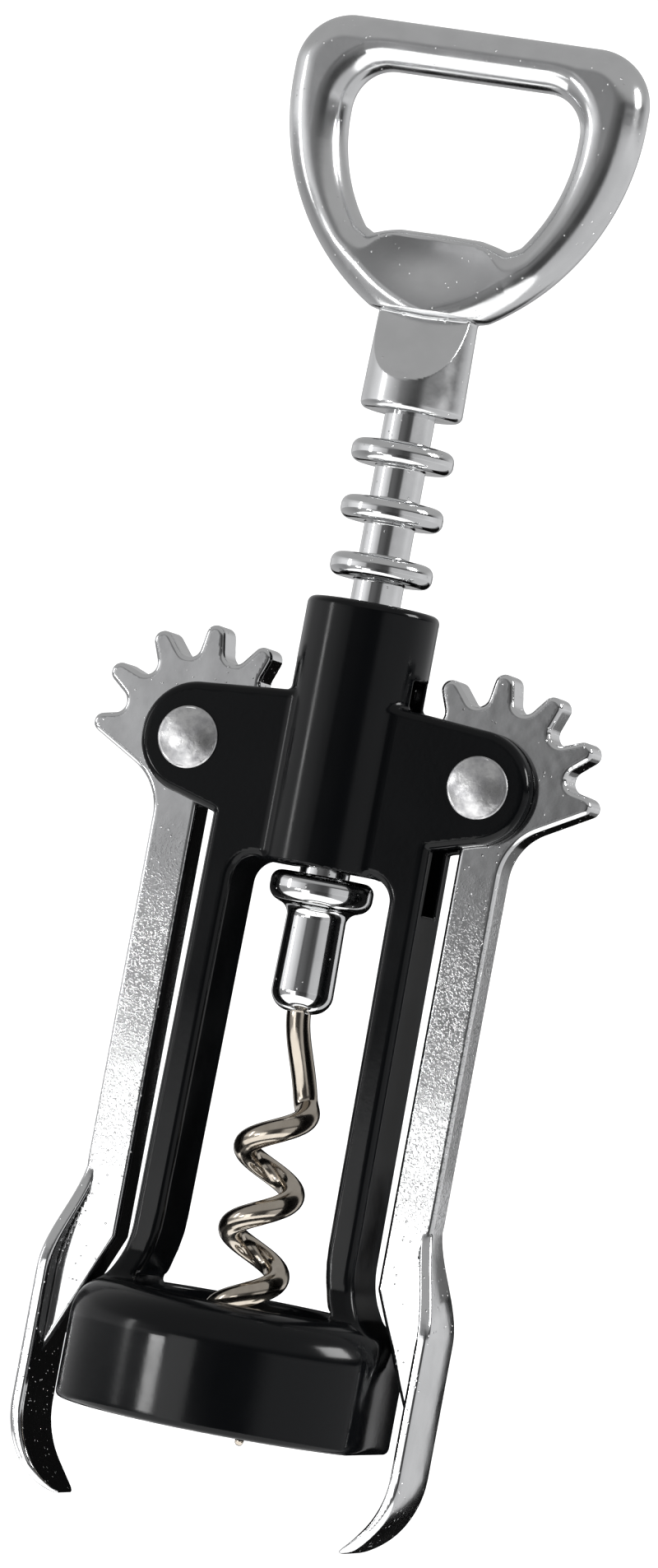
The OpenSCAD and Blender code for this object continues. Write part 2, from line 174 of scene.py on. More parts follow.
def common(a, b, r):
    """What two fields have in common, its edge rounded to r."""
    return np.minimum(np.maximum(a, b), -r) + np.hypot(np.maximum(a + r, 0), np.maximum(b + r, 0))


def joined(a, b, r):
    """Two fields joined, the corner between them filled to r."""
    return np.maximum(np.minimum(a, b), r) - np.hypot(np.maximum(r - a, 0), np.maximum(r - b, 0))


def without(a, b, r):
    """Field a with b taken away, its edge rounded to r."""
    return common(a, -b, r)


WAVE_TABLE = 97


def waves(u, v, size, seed):
    """Smooth random waves from -1 to 1, about size mm across."""
    count = WAVE_TABLE
    table = np.random.default_rng(seed).uniform(-1, 1, (count, count))
    s, t = u / size, v / size
    i, j = np.floor(s).astype(int), np.floor(t).astype(int)
    s, t = ease(0, 1, s - i), ease(0, 1, t - j)
    i, j, k, m = i % count, j % count, (i + 1) % count, (j + 1) % count
    near = table[i, j] * (1 - s) + table[k, j] * s
    far = table[i, m] * (1 - s) + table[k, m] * s
    return near * (1 - t) + far * t


BLOCK = 8
BLOCKS_AT_ONCE = 1500
MARGIN = 3
SETTLING_STEPS = 3


def surface(field, low, high, voxel):
    """Points, quads and normals of the surface where a field is zero, which is looked for near it only."""
    low = np.array(low, float) - MARGIN * voxel
    size = BLOCK * voxel
    blocks = np.ceil((np.array(high) + MARGIN * voxel - low) / size).astype(int)
    ticks = [low[a] + (np.arange(blocks[a]) + 0.5) * size - voxel / 2 for a in range(3)]
    centres = np.stack(np.meshgrid(*ticks, indexing="ij"), -1).reshape(-1, 3)
    rough = field(*centres.T).reshape(blocks)
    dense = np.where(rough < 0, -size, size).astype(np.float32)
    dense = np.repeat(np.repeat(np.repeat(dense, BLOCK, 0), BLOCK, 1), BLOCK, 2)
    view = dense.reshape(blocks[0], BLOCK, blocks[1], BLOCK, blocks[2], BLOCK)
    offsets = np.stack(np.meshgrid(*[np.arange(BLOCK)] * 3, indexing="ij"), -1).reshape(-1, 3)
    close = np.argwhere(np.abs(rough) < size)
    for part in np.array_split(close, max(1, len(close) // BLOCKS_AT_ONCE)):
        p = low + (part[:, None, :] * BLOCK + offsets[None]) * voxel
        value = field(*p.reshape(-1, 3).T).reshape(-1, BLOCK, BLOCK, BLOCK)
        view[part[:, 0], :, part[:, 1], :, part[:, 2], :] = value
    grid = openvdb.FloatGrid(size)
    grid.copyFromArray(dense)
    points, quads = grid.convertToQuads()
    points = low + points.astype(float) * voxel
    for _ in range(SETTLING_STEPS):
        value, slope = field(*points.T), gradient(field, points)
        step = -value[:, None] * slope / np.maximum((slope**2).sum(1), 0.1)[:, None]
        points += np.clip(step, -voxel / 2, voxel / 2)
    slope = gradient(field, points)
    normals = slope / np.linalg.norm(slope, axis=1)[:, None]
    return points, outward(points, quads, normals), normals


def gradient(field, points, reach=0.04):
    """How fast a field rises along each axis at each point."""
    columns = []
    for axis in range(3):
        shift = np.zeros(3)
        shift[axis] = reach
        columns.append(field(*(points + shift).T) - field(*(points - shift).T))
    return np.stack(columns, 1) / (2 * reach)


def outward(points, quads, normals):
    """The quads, turned so that most of them face along the normals."""
    a, b, c = (points[quads[:, k]] for k in range(3))
    facing = (np.cross(b - a, c - a) * normals[quads[:, 0]]).sum(1)
    return quads if (facing > 0).mean() > 0.5 else quads[:, ::-1]


# ---------------------------------------------------------------- meshes


def mesh_piece(name, points, faces, material, body, nodes, normals=None):
    """A smooth piece in the frame, which stands for its CAD nodes."""
    data = bpy.data.meshes.new(name)
    data.from_pydata(((points + (0, 0, RIM_HEIGHT)) * MM).tolist(), [], [tuple(f) for f in faces])
    data.polygons.foreach_set("use_smooth", [True] * len(data.polygons))
    data.update()
    if normals is not None:
        data.normals_split_custom_set_from_vertices(normals.tolist())
    piece = bpy.data.objects.new(name, data)
    bpy.context.scene.collection.objects.link(piece)
    data.materials.append(material)
    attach(piece, body)
    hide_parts(*nodes)
    return piece


def held(profile, reach=0.06):
    """The profile with a point close to both ends of each long straight run, so that runs shade straight."""
    points = [profile[0]]
    for a, b in zip(profile, profile[1:]):
        length = math.dist(a, b)
        if length > 6 * reach and min(a[0], b[0]) > 0:
            for share in (reach / length, 1 - reach / length):
                points.append((a[0] + share * (b[0] - a[0]), a[1] + share * (b[1] - a[1])))
        points.append(b)
    return points


def lathe(profile, sides=160):
    """Points and faces of a profile of (radius, height) turned about Z; both its ends lie on the axis."""
    profile = held(profile)
    radius, height = np.array(profile[1:-1]).T
    angles = np.linspace(0, 2 * math.pi, sides, endpoint=False)
    rings = np.stack(
        [
            np.outer(radius, np.cos(angles)),
            np.outer(radius, np.sin(angles)),
            np.repeat(height[:, None], sides, 1),
        ],
        -1,
    )
    points = [*rings.reshape(-1, 3), (0, 0, profile[0][1]), (0, 0, profile[-1][1])]
    start, end = len(points) - 2, len(points) - 1
    faces, last = [], (len(radius) - 1) * sides
    for s in range(sides):
        t = (s + 1) % sides
        faces.append((start, t, s))
        faces.append((end, last + s, last + t))
        for ring in range(0, last, sides):
            faces.append((ring + s, ring + t, ring + sides + t, ring + sides + s))
    return np.array(points), faces


def crisp(piece, degrees=35):
    """Smooth shading that stops at sharp edges."""
    piece.data.shade_smooth()
    edges = piece.modifiers.new("edges", "EDGE_SPLIT")
    edges.split_angle = math.radians(degrees)
    edges.use_edge_sharp = False


# ---------------------------------------------------------------- finishes


def finish(name, **values):
    """A Principled material, its fixed values set on the shader's own sockets."""
    made = bpy.data.materials.new(name)
    made.use_nodes = True
    shader = made.node_tree.nodes["Principled BSDF"]
    for key, value in values.items():
        shader.inputs[key.replace("_", " ")].default_value = value
    return made, shader


def add(made, kind, **settings):
    """A new node in a material, with values for its sockets and settings."""
    node = made.node_tree.nodes.new("ShaderNode" + kind)
    for key, value in settings.items():
        if key in node.inputs:
            node.inputs[key].default_value = value
        else:
            setattr(node, key, value)
    return node


def link(made, source, target):
    """Joins one node's output to another's input."""
    made.node_tree.links.new(source, target)


def noise(made, scale, detail=2.0, stretch=(1, 1, 1)):
    """Noise in the piece's own coordinates, scale in features per metre."""
    place = add(made, "TexCoord")
    spread = add(made, "Mapping")
    spread.inputs["Scale"].default_value = stretch
    texture = add(made, "TexNoise", Scale=scale, Detail=detail)
    link(made, place.outputs["Object"], spread.inputs["Vector"])
    link(made, spread.outputs["Vector"], texture.inputs["Vector"])
    return texture.outputs["Fac"]


def ranged(made, source, low, high, to_low, to_high):
    """A value stretched from one range to another and held inside it."""
    node = add(made, "MapRange")
    values = {"From Min": low, "From Max": high, "To Min": to_low, "To Max": to_high}
    for key, value in values.items():
        node.inputs[key].default_value = value
    link(made, source, node.inputs["Value"])
    return node.outputs["Result"]


def mixed(made, amount, first, second):
    """A colour that runs from the first to the second, each of them a colour or a node's output."""
    node = add(made, "Mix", data_type="RGBA")
    link(made, amount, node.inputs["Factor"])
    for key, value in (("A", first), ("B", second)):
        socket = [s for s in node.inputs if s.name == key and s.type == "RGBA"][0]
        if isinstance(value, tuple):
            socket.default_value = (*value, 1)
        else:
            link(made, value, socket)
    return [s for s in node.outputs if s.type == "RGBA"][0]


def bumped(made, height, distance, strength, before=None):
    """Normals bumped by a height, on top of the bumps before."""
    node = add(made, "Bump", Strength=strength, Distance=distance)
    link(made, height, node.inputs["Height"])
    if before is not None:
        link(made, before, node.inputs["Normal"])
    return node.outputs["Normal"]


def pits(made, scale, share):
    """Small round pits in some of the cells of a Voronoi pattern: 1 in a pit, 0 elsewhere."""
    place = add(made, "TexCoord")
    cells = add(made, "TexVoronoi", Scale=scale)
    link(made, place.outputs["Object"], cells.inputs["Vector"])
    split = add(made, "SeparateColor")
    link(made, cells.outputs["Color"], split.inputs["Color"])
    chosen = ranged(made, split.outputs["Red"], share, share + 0.02, 1, 0)
    round_pit = ranged(made, cells.outputs["Distance"], 0.12, 0.3, 1, 0)
    both = add(made, "Math", operation="MULTIPLY")
    link(made, chosen, both.inputs[0])
    link(made, round_pit, both.inputs[1])
    return both.outputs[0]


def chrome(name, tone, roughness, pitted, peel, grain=0.0):
    """Chrome over a zinc casting: soft waves, fine pits and a little uneven haze, and grain on the bars."""
    made, shader = finish(name, Metallic=1.0, IOR=2.2)
    haze = noise(made, 260, 3)
    pit = pits(made, 2100, pitted)
    clean = mixed(made, ranged(made, haze, 0.35, 0.7, 0, 1), tone, tuple(0.93 * t for t in tone))
    link(made, mixed(made, pit, clean, (0.9, 0.9, 0.9)), shader.inputs["Base Color"])
    link(made, ranged(made, haze, 0.3, 0.7, roughness, roughness * 1.8), shader.inputs["Roughness"])
    normal = bumped(made, noise(made, 700, 2), 0.00002, peel)
    if grain:
        place = add(made, "TexCoord")
        split = add(made, "SeparateXYZ")
        link(made, place.outputs["Object"], split.inputs["Vector"])
        share = ranged(made, noise(made, 4200, 2), 0.5, 0.72, 0, 1)
        for start, end in GRAIN_LIMITS:
            start, end = (start + RIM_HEIGHT) * MM, (end + RIM_HEIGHT) * MM
            product = add(made, "Math", operation="MULTIPLY")
            link(made, ranged(made, split.outputs["Z"], start, end, 0, 1), product.inputs[0])
            link(made, share, product.inputs[1])
            share = product.outputs[0]
        normal = bumped(made, share, 0.00004, grain, normal)
    link(made, bumped(made, pit, 0.0001, 0.9, normal), shader.inputs["Normal"])
    return made


def glossy_plastic():
    """Black moulded plastic with faint sink marks and a fine skin."""
    made, shader = finish("glossy_black_plastic", IOR=1.3)
    mottle = noise(made, 120, 4)
    shade = mixed(made, mottle, (0.002, 0.0023, 0.0028), (0.003, 0.0035, 0.0042))
    link(made, shade, shader.inputs["Base Color"])
    link(made, ranged(made, mottle, 0.3, 0.7, 0.1, 0.2), shader.inputs["Roughness"])
    sink = bumped(made, noise(made, 60, 1), 0.00012, 0.35)
    link(made, bumped(made, noise(made, 1400, 2), 0.000008, 0.5, sink), shader.inputs["Normal"])
    return made


def nickel_wire():
    """Warm grey nickel with streaks along the wire."""
    made, shader = finish("drawn_nickel_wire", Metallic=1.0)
    drawn = noise(made, 900, 3, (1, 1, 0.25))
    link(made, mixed(made, drawn, (0.56, 0.51, 0.44), (0.42, 0.37, 0.31)), shader.inputs["Base Color"])
    link(made, ranged(made, drawn, 0.3, 0.7, 0.1, 0.2), shader.inputs["Roughness"])
    link(made, bumped(made, drawn, 0.00003, 0.4), shader.inputs["Normal"])
    return made


def satin_aluminium():
    """Tumbled aluminium with cloudy scuffs."""
    made, shader = finish("satin_aluminium", Metallic=1.0)
    scuffs = noise(made, 900, 4)
    shade = ranged(made, scuffs, 0.35, 0.65, 0, 1)
    link(made, mixed(made, shade, (0.62, 0.62, 0.62), (0.4, 0.4, 0.41)), shader.inputs["Base Color"])
    link(made, ranged(made, scuffs, 0.3, 0.7, 0.28, 0.42), shader.inputs["Roughness"])
    link(made, bumped(made, scuffs, 0.00012, 0.6), shader.inputs["Normal"])
    return made


# Heights over which the grain on the levers' bars comes in from below and from above
GRAIN_LIMITS = ((24, 34), (72, 57))
BLACK = glossy_plastic()
CAST_CHROME = chrome("cast_chrome", (0.7, 0.705, 0.71), 0.13, 0.03, 0.35)
LEVER_CHROME = chrome("cast_lever_chrome", (0.7, 0.705, 0.71), 0.07, 0.08, 0.2, 0.35)
TURNED_CHROME = chrome("turned_chrome", (0.7, 0.705, 0.71), 0.07, 0.03, 0.15)
NICKEL = nickel_wire()
ALUMINIUM = satin_aluminium()

# ---------------------------------------------------------------- black body

BELL_TOP = 15.3
BELL_FLAT = 19.6
SEAT = -RIM_HEIGHT
LOBE_R = 7.0
LOBE_X = PIVOT_X - 0.7
POST_IN, POST_OUT, POST_LEAN = 10.2, 13.95, 0.4
POST_HALF, FOOT_HALF = 5.3, 6.95
WINDOW_TOP = 68.6
SLOT_HALF, SLOT_BOTTOM, SLOT_TOP, SLOT_IN = 2.75, 65.2, 92.9, 11.0
SLOT_SILL = WINDOW_TOP + 0.6
BARREL_R, BARREL_BORE = 8.15, 6.6
BOTTLE_R, BELL_OPENING = 16.3, 13.5
RIVET_HOLE_R = 2.55
BELL_EDGE, WING_EDGE, MOUTH_EDGE, BORE_EDGE, SLOT_EDGE = 1.3, 1.0, 0.4, 0.5, 0.3
BARREL_FILLET, BELL_FILLET = 0.7, 0.8
# Half outlines run on past the axis, and hollows past the rim, so that they have no edge there
PAST_AXIS, PAST_RIM = -5, -6


def bell_profile():
    """Half the section of the bell, as if it were solid."""
    shoulder = 5.0
    rim = 0.9
    return Outline(
        [(PAST_AXIS, 0)]
        + arc((BELL_R - rim, rim), rim, -90, 0)
        + arc((BELL_R - shoulder, BELL_TOP - shoulder), shoulder, 0, 90)
        + [(PAST_AXIS, BELL_TOP)]
    )


def bell_hollow_profile():
    """Half the section of the bore that takes the bottle, its seat and the opening above."""
    lead_in = 1.2
    mouth = BOTTLE_R + lead_in
    return Outline(
        [(PAST_AXIS, PAST_RIM), (mouth, PAST_RIM), (mouth, 0), (BOTTLE_R, lead_in), (BOTTLE_R, SEAT)]
        + [(BELL_OPENING, SEAT), (BELL_OPENING, BELL_TOP + 1), (PAST_AXIS, BELL_TOP + 1)]
    )


def barrel_profile():
    """Half the section of the barrel, as if it were solid."""
    edge = 0.9
    return Outline(
        [(PAST_AXIS, WINDOW_TOP), (BARREL_R, WINDOW_TOP)]
        + arc((BARREL_R - edge, BARREL_TOP - edge), edge, 0, 90)
        + [(PAST_AXIS, BARREL_TOP)]
    )


def upright_profile():
    """The front view of one side: post, flared foot and the wing that holds the lever."""
    corner = 3.0
    low_in, low_out = POST_IN + POST_LEAN, POST_OUT + POST_LEAN
    foot_r, flare_r = 8.5, 13.0
    foot, flare = (BELL_FLAT - foot_r, 8.0), (low_out + flare_r, 22.6)
    inner_foot = 12.9
    lobe_top = PIVOT_Z + LOBE_R + 0.9
    return Outline(
        [(PAST_AXIS, WINDOW_TOP)]
        + arc((POST_IN - corner, WINDOW_TOP - corner), corner, 90, 0)
        + [(low_in, 24), (low_in + 0.1, 21.9), (low_in + 0.5, 19.6), (low_in + 1.2, 17.3)]
        + [(inner_foot, BELL_TOP - 0.5), (inner_foot, 6), (BELL_FLAT - 1.2, 6)]
        + arc(foot, foot_r, 18, 32)
        + arc(flare, flare_r, 212, 180)
        + [(POST_OUT, WINDOW_TOP + 4.4)]
        + arc((LOBE_X, PIVOT_Z), LOBE_R, -80, 88)
        + [(BARREL_R - 1, lobe_top), (PAST_AXIS, lobe_top)]
    )


def depth_profile():
    """The side view of the posts, which get deeper towards the bell."""
    foot_top, post_bottom, past_top = 10, 19, 120
    return Outline(
        [(PAST_AXIS, PAST_RIM), (FOOT_HALF, PAST_RIM), (FOOT_HALF, foot_top), (POST_HALF, post_bottom)]
        + [(POST_HALF, past_top), (PAST_AXIS, past_top)],
        soften=12,
    )


def body_field():
    """The black moulding: barrel, wings and posts on the bell, with the bores and slots taken out."""
    bell, hollow, barrel = bell_profile(), bell_hollow_profile(), barrel_profile()
    upright, depth = upright_profile(), depth_profile()

    def field(x, y, z):
        radius, side, front = np.hypot(x, y), np.abs(x), np.abs(y)
        cup = common(bell(radius, z), side - BELL_FLAT, BELL_EDGE)
        wing = common(upright(side, z), depth(front, z), WING_EDGE)
        made = joined(joined(barrel(radius, z), wing, BARREL_FILLET), cup, BELL_FILLET)
        made = without(made, hollow(radius, z), MOUTH_EDGE)
        bore = common(radius - BARREL_BORE, WINDOW_TOP - 1 - z, 0.1)
        made = without(made, bore, BORE_EDGE)
        floor = np.minimum(np.maximum(SLOT_BOTTOM - z, SLOT_IN - side), SLOT_SILL - z)
        slot = common(common(front - SLOT_HALF, floor, 0.2), z - SLOT_TOP, 0.2)
        made = without(made, slot, SLOT_EDGE)
        return without(made, np.hypot(side - PIVOT_X, z - PIVOT_Z) - RIVET_HOLE_R, 0.2)

    return field


def make_body():
    """The black moulding as one smooth piece."""
    points, quads, normals = surface(body_field(), frame_low, frame_high, 0.36)
    mesh_piece("moulded_body", points, quads, BLACK, "body", ["frame"], normals)


# ---------------------------------------------------------------- levers

TOOTH_STEP = 30.0
LEVER_TEETH = 7
TIP_R, ROOT_R = 14.2, 10.2
TIP_ROUND, VALLEY_R = 1.25, 1.45
LAST_TIP, LAST_ROUND, LAST_FLANK = (12.3, 0.1), 1.2, 28
LEVER_HALF = 2.5
LEVER_HOLE_R = 2.56
LEVER_EDGE = 0.6
BAR_IN, BAR_OUT = 16.95, 22.5
NECK_ARC, NECK_ARC_DROP = 7.0, 10.1
BAR_TOP_DROP = 7.4
GRIP_OUT = 25.5
GRIP_T = 1.7
CROWN = 0.004
GRIP_START, GRIP_FULL = 29.3, 14.8
GRIP_CURL, CURL_Z = 12.0, -1.5
WEB_SLANT, WEB_FOOT, WEB_END = 20.0, (21.6, 9.2), 3.5
WEB_INSET, WEB_INSET_FULL = 1.1, 23.0


def flank_turn(tip, tip_round):
    """Half the turn of a round tooth tip before its flank leaves it for the valley beside it."""
    valley = turned((ROOT_R + VALLEY_R, 0), TOOTH_STEP / 2)
    du, dv = valley[0] - tip[0], valley[1] - tip[1]
    lean = math.acos((tip_round + VALLEY_R) / math.hypot(du, dv))
    return math.degrees(math.atan2(dv, du) - lean)


def tooth_points(angle, tip, tip_round, start):
    """One tooth from its right flank round the tip to the valley on its left."""
    turn = flank_turn(tip, tip_round)
    valley = turned((ROOT_R + VALLEY_R, 0), TOOTH_STEP / 2)
    points = arc(tip, tip_round, -turn if start is None else start, turn, 6)
    points += arc(valley, VALLEY_R, turn + 180, TOOTH_STEP / 2 + 180, 6)
    return [turned(p, angle) for p in points]


def valley_before(angle):
    """The side of the valley that rises to the right flank of the tooth at an angle."""
    turn = flank_turn((TIP_R - TIP_ROUND, 0), TIP_ROUND)
    valley = turned((ROOT_R + VALLEY_R, 0), -TOOTH_STEP / 2)
    return [turned(p, angle) for p in arc(valley, VALLEY_R, 180 - TOOTH_STEP / 2, 180 - turn, 6)]


def grip_x(z):
    """Distance from the axis to the outside of a grip at height z."""
    drop = np.minimum(np.maximum(CURL_Z - z, 0), GRIP_CURL * 0.999)
    curl = GRIP_CURL - np.sqrt(GRIP_CURL**2 - drop**2)
    return BAR_OUT + (GRIP_OUT - BAR_OUT) * ease(GRIP_START, GRIP_FULL, z) - curl


def grip_half_width(z):
    """Half the width of a grip's flange at height z."""
    start = LEVER_HALF - 0.15
    return start + (GRIP_HALF - start) * ease(GRIP_START, GRIP_FULL, z)


def lever_profile():
    """The front view of the right lever's plate: pinion, bar and the web of the grip."""
    pinion = arc((BAR_OUT - PIVOT_X + NECK_ARC, -NECK_ARC_DROP), NECK_ARC, 180, 90 + LAST_FLANK)
    pinion += tooth_points(0, LAST_TIP, LAST_ROUND, LAST_FLANK - 90)
    for k in range(1, LEVER_TEETH):
        pinion += valley_before(k * TOOTH_STEP)
        pinion += tooth_points(k * TOOTH_STEP, (TIP_R - TIP_ROUND, 0), TIP_ROUND, None)
    pinion.append((BAR_IN - PIVOT_X, -BAR_TOP_DROP))
    web = [(BAR_IN, WEB_SLANT), WEB_FOOT, (WEB_FOOT[0] + 1.2, WEB_FOOT[1] - 2.6)]
    for z in np.linspace(WEB_END, GRIP_START, 40):
        web.append((float(grip_x(z) - WEB_INSET * ease(GRIP_START, WEB_INSET_FULL, z)), z))
    return Outline([(u + PIVOT_X, v + PIVOT_Z) for u, v in pinion] + web)


def flange_profile():
    """The front view of the grip's flange, which curls inwards at its tip."""
    heights = np.linspace(GRIP_TIP - 4, GRIP_START, 120)
    outer = [(float(grip_x(z) - 0.1 * ease(GRIP_FULL, GRIP_START, z)), z) for z in heights]
    inner = [(float(grip_x(z)) - GRIP_T, z) for z in heights[::-1]]
    return Outline(outer + inner)


def grip_face_profile():
    """Half of the grip's flange as seen from its side."""
    corner, past_middle = 3.6, -9
    heights = np.linspace(GRIP_TIP + corner, GRIP_START, 60)
    side = [(float(grip_half_width(z)), z) for z in heights]
    tip = arc((GRIP_HALF - corner, GRIP_TIP + corner), corner, -90, 0)
    return Outline([(past_middle, GRIP_TIP)] + tip + side + [(past_middle, GRIP_START)])


def lever_field(seed):
    """The right lever, its faces a little wavy as cast."""
    plate, flange, face = lever_profile(), flange_profile(), grip_face_profile()

    def field(x, y, z):
        soft = 0.005 * waves(x, z, 3.1, seed + 2) + 0.002 * waves(x, z, 1.1, seed)
        web = common(plate(x, z), np.abs(y) - LEVER_HALF + soft, LEVER_EDGE)
        wing = common(flange(x + CROWN * y * y, z), face(np.abs(y), z), LEVER_EDGE)
        made = joined(web, wing, 0.05 + 0.15 * (1 - ease(GRIP_FULL, GRIP_START, z)))
        return without(made, np.hypot(x - PIVOT_X, z - PIVOT_Z) - LEVER_HOLE_R, 0.3)

    return field


def make_levers():
    """Both levers. The left one is the right one's mirror image, with waves of its own."""
    low, high = lever_low, lever_high
    for side, seed in (("right", 11), ("left", 31)):
        points, quads, normals = surface(lever_field(seed), low, high, 0.24)
        if side == "left":
            points, normals, quads = points * (-1, 1, 1), normals * (-1, 1, 1), quads[:, ::-1]
        name = "lever_" + side
        mesh_piece("cast_" + name, points, quads, LEVER_CHROME, name, [name], normals)


# ---------------------------------------------------------------- handle

HANDLE_HALF_DEPTH = 3.7
LIMB_LEAST, LIMB_HALF, TONGUE_EDGE, DISH = 2.5, 3.5, 1.1, 0.7
# Spans, in height and to the side, over which the bar thins to the tongue and the dish comes and goes
THIN_HEIGHT, THIN_SIDE = (146, 153), (6, 11)
DISH_LOW, DISH_HIGH, DISH_SIDE = (137, 145), (146, 156), (0, 11)
RING_ARC, RING_ARC_Z = 31.0, 163.9
PLATE_BOTTOM = 136.6
HOLE_HALF, HOLE_TOP, HOLE_ARC, HOLE_ARC_Z = 14.9, 166.2, 22.0, 160.5
TONGUE, NOTCH = 147.4, 146.2
NECK_R, NECK_TOP = 6.325, 137.0
SCOOP_R, SCOOP_Y, SCOOP_Z = 17.6, 19.0, 141.0
NECK_HOLE_R, NECK_HOLE_DEPTH = 2.55, 6.2
PAST_MIDDLE, RING_BAND = -12, 8.0


def ring_profile():
    """Half the outline of the handle's ring."""
    corner = 7.0
    end = -math.degrees(math.acos((RING_ARC - HANDLE_HALF) / RING_ARC))
    side = arc((HANDLE_HALF - RING_ARC, RING_ARC_Z), RING_ARC, end, 0, 0.7)
    return Outline(
        [(PAST_MIDDLE, side[0][1])]
        + side
        + arc((HANDLE_HALF - corner, HANDLE_TOP - corner), corner, 0, 90)
        + [(PAST_MIDDLE, HANDLE_TOP)],
        band=RING_BAND,
    )


def hole_profile():
    """Half the outline of the finger hole, with the cap opener's notch and tongue below."""
    corner = 5.0
    end = -math.degrees(math.asin((HOLE_ARC_Z - NOTCH - 0.8) / HOLE_ARC))
    return Outline(
        [(PAST_MIDDLE, HOLE_TOP)]
        + arc((HOLE_HALF - corner, HOLE_TOP - corner), corner, 90, 0)
        + arc((HOLE_HALF - HOLE_ARC, HOLE_ARC_Z), HOLE_ARC, 0, end, 0.7)
        + [(8.8, NOTCH), (7, NOTCH + 0.5), (5.2, TONGUE - 0.3), (PAST_MIDDLE, TONGUE)],
        soften=4,
        band=RING_BAND,
    )


def neck_profile():
    """Half the section of the round neck under the ring."""
    edge = 0.9
    return Outline(
        [(PAST_AXIS, NECK_BOTTOM)]
        + arc((NECK_R - edge, NECK_BOTTOM + edge), edge, -90, 0)
        + [(NECK_R - 0.22, NECK_TOP), (PAST_AXIS, NECK_TOP)]
    )


def cushion(edge, across, depth, power=2.1):
    """A bar with a full, rounded section. edge runs from 0 in the bar's middle to 1 at its rim."""
    v = np.abs(across) / depth
    return (edge**power + v**power) ** (1 / power) - 1


def handle_field():
    """The ring handle: a full, rounded bar that thins to the tongue and is dished below it."""
    ring, hole, neck = ring_profile(), hole_profile(), neck_profile()

    def field(x, y, z):
        side, front = np.abs(x), np.abs(y)
        outside, inside = -ring(side, z), hole(side, z)
        half = np.clip((outside + inside) / 2, LIMB_LEAST, LIMB_HALF)
        rim = half - (half - TONGUE_EDGE) * (1 - ease(*THIN_HEIGHT, z)) * (1 - ease(*THIN_SIDE, side))
        edge = np.maximum(np.clip(1 - outside / half, 0, None), np.clip(1 - inside / rim, 0, None))
        dish = ease(*DISH_LOW, z) * (1 - ease(*DISH_HIGH, z)) * (1 - ease(*DISH_SIDE, side))
        made = cushion(edge, y, HANDLE_HALF_DEPTH - DISH * dish) * rim
        made = common(made, PLATE_BOTTOM - z, 0.9)
        stem = neck(np.hypot(x, y), z)
        stem = without(stem, np.hypot(front - SCOOP_Y, z - SCOOP_Z) - SCOOP_R, 0.25)
        made = joined(made, stem, 0.15) + 0.008 * waves(x, z, 3.7, 5)
        bore = common(np.hypot(x, y) - NECK_HOLE_R, z - NECK_BOTTOM - NECK_HOLE_DEPTH, 0.1)
        return without(made, bore, 0.1)

    return field


def make_handle():
    """The ring handle as one smooth piece."""
    points, quads, normals = surface(handle_field(), handle_low, handle_high, 0.28)
    mesh_piece("cast_handle", points, quads, CAST_CHROME, "spindle", ["handle"], normals)


# ---------------------------------------------------------------- turned pieces

ROD_R = 3.1
WIRE_R = 1.5
RING_T, RING_PITCH, RING_COUNT, RING_DROP = 2.9, 7.03, 7, 0.4
SPIGOT_R = 2.5
SEAM = 0.03


def ring_edge(z):
    """One rounded ring with a small fillet on each side, from its lower to its upper edge."""
    edge, fillet = 1.2, 0.25
    r, h = RING_R - edge, RING_T / 2 - edge
    low, high = z - RING_T / 2, z + RING_T / 2
    return (
        arc((ROD_R + fillet, low - fillet), fillet, 180, 90, 10)
        + arc((r, z - h), edge, -90, 0, 7)
        + arc((r, z + h), edge, 0, 90, 7)
        + arc((ROD_R + fillet, high + fillet), fillet, 270, 180, 10)
    )


def make_rod():
    """The round rack with its spigots. It stands a seam clear of the collar, which turns against it."""
    low, high = rod_low[2], rod_high[2]
    shoulder = COLLAR_TOP + SEAM
    profile = [(0, low), (SPIGOT_R, low), (SPIGOT_R, shoulder), (ROD_R, shoulder)]
    for k in range(RING_COUNT):
        profile += ring_edge(PIVOT_Z + (k - 0.5) * RING_PITCH - RING_DROP)
    profile += [(ROD_R, NECK_BOTTOM), (SPIGOT_R, NECK_BOTTOM), (SPIGOT_R, high), (0, high)]
    points, faces = lathe(profile)
    crisp(mesh_piece("ringed_rod", points, faces, TURNED_CHROME, "rack", ["rack_rod"]))


def make_holder():
    """The stop collar and the boss that holds the wire."""
    edge, low_edge, nose, boss, neck = 1.3, 1.8, 2.5, 3.8, 1.5
    collar_bottom = COLLAR_TOP - 3.8
    wire_hole_top, spigot_hole_end = BOSS_BOTTOM + 8, COLLAR_TOP - 6
    hole_r = SPIGOT_R + 2 * SEAM
    profile = [(0, wire_hole_top), (WIRE_R, wire_hole_top), (WIRE_R, BOSS_BOTTOM + 0.2)]
    profile += [(WIRE_R + 0.2, BOSS_BOTTOM)]
    profile += arc((boss - nose, BOSS_BOTTOM + nose), nose, -80, 0, 5)
    profile += arc((boss - 0.15 + neck, collar_bottom - neck), neck, 180, 90, 8)
    profile += arc((COLLAR_R - low_edge, collar_bottom + low_edge), low_edge, -90, 0, 6)
    profile += arc((COLLAR_R - edge, COLLAR_TOP - edge), edge, 0, 90, 6)
    profile += [(hole_r, COLLAR_TOP), (hole_r, spigot_hole_end), (0, spigot_hole_end)]
    points, faces = lathe(profile)
    node = "worm_holder"
    crisp(mesh_piece("worm_collar", points, faces, TURNED_CHROME, "spindle", [node]))


HEAD_H = 1.2
PIN_R, SLEEVE_R = 1.55, 2.5


